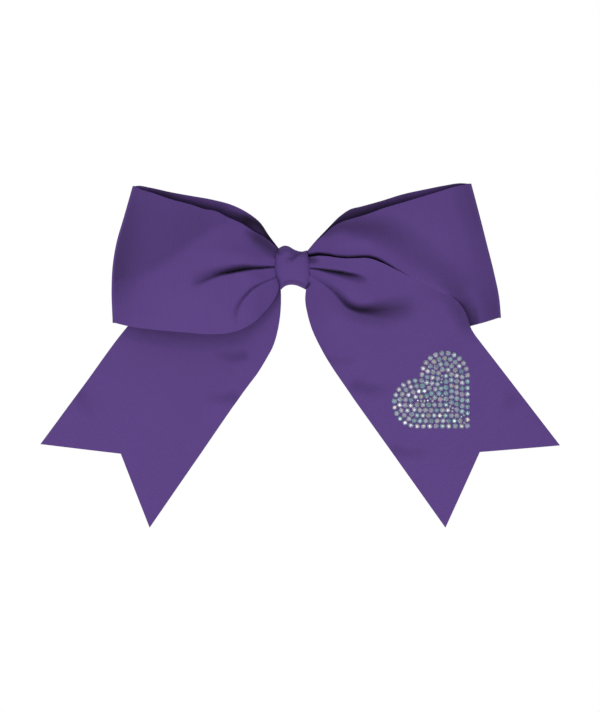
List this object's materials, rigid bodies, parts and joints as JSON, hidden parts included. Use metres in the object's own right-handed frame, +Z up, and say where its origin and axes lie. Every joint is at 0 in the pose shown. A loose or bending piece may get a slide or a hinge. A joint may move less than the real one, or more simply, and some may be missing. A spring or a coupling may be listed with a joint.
{
  "type": "cheer hair bow",
  "caption": "Large purple grosgrain cheer bow with puffed loops, V-cut tails, a knotted centre and a heart of clear rhinestones, on a hinged hair barrette.",
  "frame": {"origin": "middle of the barrette's hair gap, between its tension bar and its clasp", "axes": "+X to the right as seen from the front, along the barrette; +Y towards the wearer's head; +Z up as worn"},
  "size_m": [0.2839, 0.0334, 0.1877],
  "materials": {
    "ribbon": "ribbed grosgrain",
    "crystal": "aurora-borealis coated and foil-backed, faceted",
    "metal": "nickel-plated",
    "nylon": "satin",
    "glue": "translucent hot-melt"
  },
  "bodies": {
    "bow": {"ribbon_gather": "ribbon", "ribbon_neck_left": "ribbon", "ribbon_neck_right": "ribbon", "knot_wrap": "ribbon", "cable_tie": "nylon", "glue_pad": "glue", "barrette_base": "metal", "barrette_tension_bar": "metal", "barrette_hinge_pin": "metal", "catch_saddle": "metal", "catch_rivet": "metal"},
    "loop_left": {"ribbon_loop_left": "ribbon"},
    "loop_right": {"ribbon_loop_right": "ribbon"},
    "tail_left": {"ribbon_tail_left": "ribbon"},
    "tail_right": {"ribbon_tail_right": "ribbon", "rhinestones_large": "crystal", "rhinestones_small": "crystal"},
    "clasp": {"barrette_clasp": "metal"},
    "prong_upper": {"catch_prong_upper": "metal"},
    "prong_lower": {"catch_prong_lower": "metal"}
  },
  "joints": [
    {"name": "tail_right_flex", "type": "hinge", "parent": "bow", "child": "tail_right", "pos_m": [0.0088, -0.0182, -0.009], "axis": [-0.7975, 0.2371, -0.5548], "range_deg": [0, 50], "stiffness_Nm_per_rad": 0.01},
    {"name": "tail_left_flex", "type": "hinge", "parent": "bow", "child": "tail_left", "pos_m": [-0.0088, -0.00918, -0.009], "axis": [0.8167, -0.0509, -0.5747], "range_deg": [0, 20], "stiffness_Nm_per_rad": 0.01},
    {"name": "loop_left_flex", "type": "hinge", "parent": "bow", "child": "loop_left", "pos_m": [-0.009, -0.0134, 0], "axis": [0, 0, 1], "range_deg": [0, 10], "stiffness_Nm_per_rad": 0.05},
    {"name": "loop_right_flex", "type": "hinge", "parent": "bow", "child": "loop_right", "pos_m": [0.009, -0.011, 0], "axis": [0, 0, 1], "range_deg": [0, 6], "stiffness_Nm_per_rad": 0.05},
    {"name": "clasp_hinge", "type": "hinge", "parent": "bow", "child": "clasp", "pos_m": [-0.032, 0.00382, 0], "axis": [0, 0, 1], "range_deg": [0, 60]},
    {"name": "catch_prong_upper_pinch", "type": "hinge", "parent": "bow", "child": "prong_upper", "pos_m": [0.032, -0.0014, 0.00155], "axis": [-1, 0, 0], "range_deg": [0, 8], "stiffness_Nm_per_rad": 0.05},
    {"name": "catch_prong_lower_pinch", "type": "hinge", "parent": "bow", "child": "prong_lower", "pos_m": [0.032, -0.0014, -0.00155], "axis": [1, 0, 0], "range_deg": [0, 8], "stiffness_Nm_per_rad": 0.05}
  ]
}
